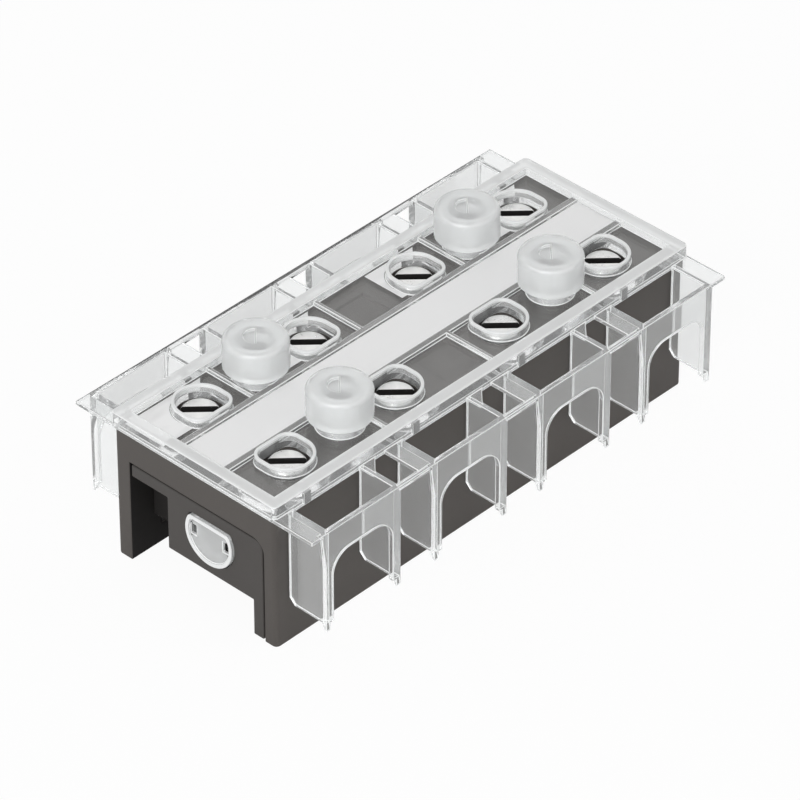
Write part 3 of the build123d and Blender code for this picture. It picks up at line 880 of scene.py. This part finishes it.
@dataclass
class Cover:
    """The clear cover with its knobs, its label strip and the films on its plate."""

    finishes: dict[Region, ClearFinish] = field(default_factory=lambda: {
        Region.PLATE: ClearFinish("clear_plate", 0.98, roughness=0.02),
        Region.COMB: ClearFinish("clear_comb", 0.86, roughness=0.03),
        # Painted light: the border's upward faces are whiter than its sides, which take the clearer rib
        # finish.
        Region.BORDER: ClearFinish("clear_border", 0.25, roughness=0.05),
        Region.RIB: ClearFinish("clear_rib", 0.76, roughness=0.04),
        # Painted highlight: the top band of each ring is nearly white.
        Region.RING: ClearFinish("clear_ring", 0.12, roughness=0.1),
        # Painted highlight: the rounded edges are nearly white, as bright lines along each edge.
        Region.EDGE: ClearFinish("clear_edge", 0.12, roughness=0.06, colour=(0.96, 0.97, 0.97)),
        # Painted shade: a dark finish for the back and far top edges and the latch pockets.
        Region.OUTLINE: ClearFinish("clear_outline", 0.4, roughness=0.06, colour=(0.08, 0.08, 0.08)),
    })
    knob: ClearFinish = ClearFinish("clear_knob", 0.64, roughness=0.24)
    # Painted highlight: the knobs' rounded edges are whiter than the knobs.
    knob_edge: ClearFinish = ClearFinish("knob_edge", 0.5, roughness=0.16)
    label: MouldedFinish = MouldedFinish("label_white", srgb(244, 244, 244), roughness=0.4, contrast=0.02)
    film: FilmFinish = FilmFinish("frosted_film")
    knobs: tuple[str, ...] = ("near_front", "near_back", "far_front", "far_back")
    edge_mm: float = 0.18
    knob_edge_mm: float = 0.2
    label_edge_mm: float = 0.1
    plate_top_mm: float = 35.2
    rim_mm: float = 23.8
    border_mm: float = 3.0
    border_play_mm: float = 0.2
    rib_foot_mm: float = 0.05
    shoulder_mm: float = 33.0
    seat_gap_mm: float = 0.03
    height_play_mm: float = 0.01
    poles_mm: tuple[float, ...] = (-48.0, -16.0, 16.0, 48.0)
    ring_row_mm: float = 12.6
    ring_reach_mm: float = 6.3
    ring_margin_mm: float = 1.0
    ring_foot_mm: float = 0.2
    ring_top_mm: float = 37.4
    ring_band_mm: float = 0.6
    ring_lip_mm: float = 0.25
    knob_row_mm: float = 12.1
    knob_reach_mm: float = 7.4
    latch_row_mm: float = 22.2
    latch_shift_mm: float = 5.0
    latch_reach_mm: float = 0.95
    latch_rise_mm: float = 0.9
    painted_shade_row_mm: float = 33.5
    painted_shade_rise_mm: float = 0.5
    far_end_mm: float = 0.3
    far_end_rise_mm: float = 1.5
    film_cells: tuple[FilmCell, ...] = (FilmCell(-61.5, -48.0, False), FilmCell(-32.0, -16.0, True),
                                        FilmCell(8.6, 16.0, False), FilmCell(32.0, 48.0, True))
    film_rows_mm: tuple[float, float] = (8.9, 20.0)
    film_slant_deg: float = 45.0
    film_knob_deg: float = 60.0
    film_ring_steps: int = 24
    film_knob_steps: int = 16
    film_gap_mm: float = 0.01
    film_thickness_mm: float = 0.05
    shown: bpy.types.Object | None = field(default=None, init=False)

    def on_ring(self, x: float, y: float) -> bool:
        """Whether a point seen from above belongs to one of the screw rings."""
        reach = self.ring_reach_mm + self.ring_margin_mm
        return any(math.hypot(x - pole, abs(y) - self.ring_row_mm) < reach for pole in self.poles_mm)

    def in_latch(self, centre: Vector) -> bool:
        """Whether a face belongs to a latch pocket under the border, which gets painted shade.

        Args:
            centre: The face's middle, in metres.

        Returns:
            Whether it does.
        """
        x, y, z = (value / MM for value in centre)
        along = x if y < 0 else -x
        near = any(abs(along - pole + self.latch_shift_mm) < self.latch_reach_mm for pole in self.poles_mm)
        in_row = abs(abs(y) - self.latch_row_mm) < self.latch_reach_mm
        return near and in_row and z < self.plate_top_mm + self.latch_rise_mm

    def band_rings(self, mesh: bpy.types.Mesh) -> None:
        """Cuts a line round each ring, over which its wall gets a white painted highlight.

        Args:
            mesh: The cover's mesh.
        """
        shape = bmesh.new()
        shape.from_mesh(mesh)
        foot = (self.plate_top_mm + self.ring_foot_mm) * MM
        faces = []
        for face in shape.faces:
            centre = face.calc_center_median()
            if centre.z > foot and self.on_ring(centre.x / MM, centre.y / MM):
                faces.append(face)
        edges = {edge for face in faces for edge in face.edges}
        corners = {corner for face in faces for corner in face.verts}
        bmesh.ops.bisect_plane(shape, geom=[*corners, *edges, *faces], plane_no=UP,
                               plane_co=(0.0, 0.0, (self.ring_top_mm - self.ring_band_mm) * MM))
        shape.to_mesh(mesh)
        shape.free()

    def region(self, centre: Vector, normal: Vector, half_length: float) -> Region:
        """Says which region a face of the cover belongs to.

        Args:
            centre: The face's middle, in metres.
            normal: Its outward normal.
            half_length: Half the cover's length, in millimetres.

        Returns:
            The region.
        """
        x, y, z = (value / MM for value in centre)
        if abs(y) > self.rim_mm:
            return Region.COMB
        inner_length = half_length - self.border_mm - self.border_play_mm
        inner_width = self.rim_mm - self.border_mm - self.border_play_mm
        if abs(x) > inner_length or abs(y) > inner_width:
            # Upward border faces get the whiter finish and the sides the clearer one: a painted lighter top.
            return Region.BORDER if normal.z > UPPER else Region.RIB
        # The top band of each ring gets the white painted highlight.
        if z > self.ring_top_mm - self.ring_band_mm - self.height_play_mm and self.on_ring(x, y):
            return Region.RING
        if z > self.plate_top_mm + self.rib_foot_mm:
            return Region.RIB
        return Region.PLATE

    def lift_seat(self, mesh: bpy.types.Mesh) -> None:
        """Lifts the faces that lie on the housing's shoulder a hair off it.

        Args:
            mesh: The cover's mesh.
        """
        for corner in mesh.vertices:
            on_shoulder = abs(corner.co.z / MM - self.shoulder_mm) < self.height_play_mm
            if on_shoulder and abs(corner.co.y / MM) < self.rim_mm:
                corner.co.z += self.seat_gap_mm * MM

    def film_outline(self, cell: FilmCell) -> list[tuple[float, float]]:
        """The outline of one film, cut slantwise at its ring and clear of the knob.

        Args:
            cell: The film's place.

        Returns:
            Its corners in order, in millimetres.
        """
        low, high = self.film_rows_mm
        first = 180 + math.degrees(math.asin((self.ring_row_mm - low) / self.ring_reach_mm))
        corners = arc((cell.ring_mm, self.ring_row_mm), self.ring_reach_mm, first, self.film_slant_deg,
                      self.film_ring_steps)
        run = (high - self.ring_row_mm) / math.tan(math.radians(self.film_slant_deg))
        corners.append((cell.ring_mm + run, high))
        if not cell.past_knob:
            return corners + [(cell.start_mm, high), (cell.start_mm, low)]
        corners.append((cell.start_mm + self.knob_reach_mm / 2, high))
        last = -math.degrees(math.asin((self.knob_row_mm - low) / self.knob_reach_mm))
        return corners + arc((cell.start_mm, self.knob_row_mm), self.knob_reach_mm, self.film_knob_deg, last,
                             self.film_knob_steps)

    def films(self, bench: Bench) -> None:
        """Lays the white films on the plate of the back row."""
        shape = bmesh.new()
        base = (self.plate_top_mm + self.film_gap_mm) * MM
        for cell in self.film_cells:
            corners = [shape.verts.new((x * MM, y * MM, base)) for x, y in self.film_outline(cell)]
            face = shape.faces.new(corners)
            face.normal_update()
            if face.normal.z > 0:
                face.normal_flip()
            raised = bmesh.ops.extrude_face_region(shape, geom=[face], use_keep_orig=True)["geom"]
            for corner in (item for item in raised if isinstance(item, bmesh.types.BMVert)):
                corner.co.z += self.film_thickness_mm * MM
        bmesh.ops.triangulate(shape, faces=[face for face in shape.faces if len(face.verts) > 4])
        bmesh.ops.recalc_face_normals(shape, faces=shape.faces)
        # The extrusion leaves its side faces in another order each run.
        ordered = sorted(shape.faces, key=lambda face: face.calc_center_median()[:])
        for rank, face in enumerate(ordered):
            face.index = rank
        shape.faces.sort()
        mesh = bpy.data.meshes.new("frosted_films")
        shape.to_mesh(mesh)
        shape.free()
        mesh.materials.append(self.film.material())
        bench.lay(link_piece("frosted_films", mesh), "clear_cover", stands=False)

    def paint_edge_light_and_shade(self) -> None:
        """Paints shade on the latch pockets and on the back and far top edges, and a painted highlight on the
        rings' lips.
        """
        mesh = self.shown.data
        far = max(corner.co.x for corner in mesh.vertices) / MM
        for face in mesh.polygons:
            x, y, z = (value / MM for value in face.center)
            rounded = face.material_index == Region.EDGE.value
            at_back = y > self.painted_shade_row_mm and z > self.shoulder_mm + self.painted_shade_rise_mm
            at_far_end = x > far - self.far_end_mm and z > self.plate_top_mm + self.far_end_rise_mm
            top_edge = at_back and (rounded or face.normal.z > FACING) or at_far_end and rounded
            # These faces get the dark painted shade.
            if top_edge or self.in_latch(face.center):
                face.material_index = Region.OUTLINE.value
            # Rounded lips of the rings get the white painted highlight.
            elif rounded and z > self.ring_top_mm - self.ring_lip_mm:
                face.material_index = Region.RING.value

    def build(self, bench: Bench) -> None:
        """Dresses the cover, its films, its knobs and its label strip."""
        materials = [self.finishes[region].material() for region in Region]
        cover = dress("clear_cover", materials, self.edge_mm, edge_slot=Region.EDGE.value)
        self.band_rings(cover.data)
        half_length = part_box("clear_cover")[1].x / MM
        for face in cover.data.polygons:
            face.material_index = self.region(face.center, face.normal, half_length).value
        self.lift_seat(cover.data)
        self.shown = bench.lay(cover, "clear_cover")
        self.films(bench)
        knob, edge = self.knob.material(), self.knob_edge.material()
        for name in self.knobs:
            node = f"cover_knob_{name}"
            bench.lay(dress(node, [knob, edge], self.knob_edge_mm, edge_slot=1), node)
        bench.lay(dress("label_strip", [self.label.material()], self.label_edge_mm), "label_strip")


@dataclass(frozen=True)
class Lamp:
    """A soft square lamp, with its place and its side in metres."""

    name: str
    place: tuple[float, float, float]
    side: float
    watts: float

    def hang(self) -> None:
        """Hangs the lamp so that it points at the block."""
        light = bpy.data.lights.new(self.name, "AREA")
        light.size = self.side
        light.energy = self.watts
        lamp = bpy.data.objects.new(self.name, light)
        lamp.location = self.place
        lamp.rotation_euler = (-Vector(self.place)).to_track_quat("-Z", "Y").to_euler()
        bpy.context.scene.collection.objects.link(lamp)


@dataclass
class Studio:
    """The floor, the soft light and the camera at the photograph's angle."""

    azimuth_deg: float = -46.4
    elevation_deg: float = 37.9
    distance_mm: float = 1290.0
    pixels_per_mm: float = 4.69
    origin_px: tuple[float, float] = (404.7, 465.5)
    frame_px: int = 800
    sensor_mm: float = 36.0
    clip_m: tuple[float, float] = (0.05, 50.0)
    floor_half_m: float = 4.0
    floor_grey: float = 0.9
    floor_roughness: float = 0.9
    floor_glow: float = 0.94
    world_strength: float = 0.55
    lamps: tuple[Lamp, ...] = (Lamp("key", (-1.15, -0.4, 0.85), 0.8, 10.0),
                               Lamp("fill", (0.6, -1.0, 0.6), 0.8, 1.2))

    def directions(self) -> tuple[Vector, Vector, Vector]:
        """The camera's backward, right and up directions.

        Returns:
            Three unit vectors, square to each other.
        """
        azimuth, elevation = math.radians(self.azimuth_deg), math.radians(self.elevation_deg)
        back = Vector((math.sin(azimuth) * math.cos(elevation), -math.cos(azimuth) * math.cos(elevation),
                       math.sin(elevation)))
        right = Vector((math.cos(azimuth), math.sin(azimuth), 0.0))
        return back, right, back.cross(right)

    def camera(self) -> None:
        """Places the camera so that the block's origin lands where the photograph has it."""
        back, right, up = self.directions()
        centre = self.frame_px / 2
        offset = right * ((centre - self.origin_px[0]) / self.pixels_per_mm)
        offset += up * ((self.origin_px[1] - centre) / self.pixels_per_mm)
        position = back * self.distance_mm * MM
        aim = offset * MM - position
        data = bpy.data.cameras.new("camera")
        data.sensor_width = self.sensor_mm
        data.lens = self.pixels_per_mm * self.distance_mm / self.frame_px * self.sensor_mm
        data.clip_start, data.clip_end = self.clip_m
        camera = bpy.data.objects.new("camera", data)
        camera.location = position
        side = aim.cross(up).normalized()
        top = side.cross(aim).normalized()
        turn = Matrix((side, top, -aim.normalized())).transposed()
        camera.rotation_euler = turn.to_euler()
        bpy.context.scene.collection.objects.link(camera)
        bpy.context.scene.camera = camera

    def floor(self) -> None:
        """Adds a pale floor that looks white and keeps a faint shadow."""
        shape = bmesh.new()
        bmesh.ops.create_grid(shape, x_segments=1, y_segments=1, size=self.floor_half_m)
        mesh = bpy.data.meshes.new("floor")
        shape.to_mesh(mesh)
        shape.free()
        floor = link_piece("floor", mesh)
        material, sheet, shader = blank_material("floor_paper")
        sheet.put(shader, Base_Color=(self.floor_grey, self.floor_grey, self.floor_grey, 1.0),
                  Roughness=self.floor_roughness, Specular_IOR_Level=0.0)
        glow = sheet.put(sheet.add("ShaderNodeEmission"), Color=WHITE, Strength=1.0)
        seen = sheet.rays("Camera", "Transmission")
        sheet.blend_surface(sheet.maths("MULTIPLY", seen, self.floor_glow), shader, glow)
        mesh.materials.append(material)

    def world(self) -> None:
        """Lights the scene evenly and shows white behind the block."""
        world = bpy.data.worlds.new("studio")
        bpy.context.scene.world = world
        world.use_nodes = True
        world.node_tree.nodes.clear()
        sheet = NodeSheet(world.node_tree)
        seen = sheet.rays("Camera", "Transmission", "Glossy")
        added = sheet.maths("MULTIPLY", seen, 1.0 - self.world_strength)
        strength = sheet.maths("ADD", added, self.world_strength)
        glow = sheet.put(sheet.add("ShaderNodeBackground"), Color=WHITE, Strength=strength)
        output = sheet.add("ShaderNodeOutputWorld")
        sheet.link(glow.outputs[0], output.inputs["Surface"])

    def build(self) -> None:
        """Builds the whole studio."""
        self.floor()
        self.world()
        for lamp in self.lamps:
            lamp.hang()
        self.camera()
        bpy.context.scene.view_settings.view_transform = "Standard"


def main() -> None:
    """Builds the sub-assemblies in order."""
    logging.basicConfig(level=logging.INFO, format="%(message)s")
    bench = Bench()
    cover = Cover()
    for part in (Housing(), Terminals(), cover):
        part.build(bench)
        LOG.info("built %s", type(part).__name__)
    bench.settle()
    cover.paint_edge_light_and_shade()
    Studio().build()


if __name__ == "__main__":
    main()
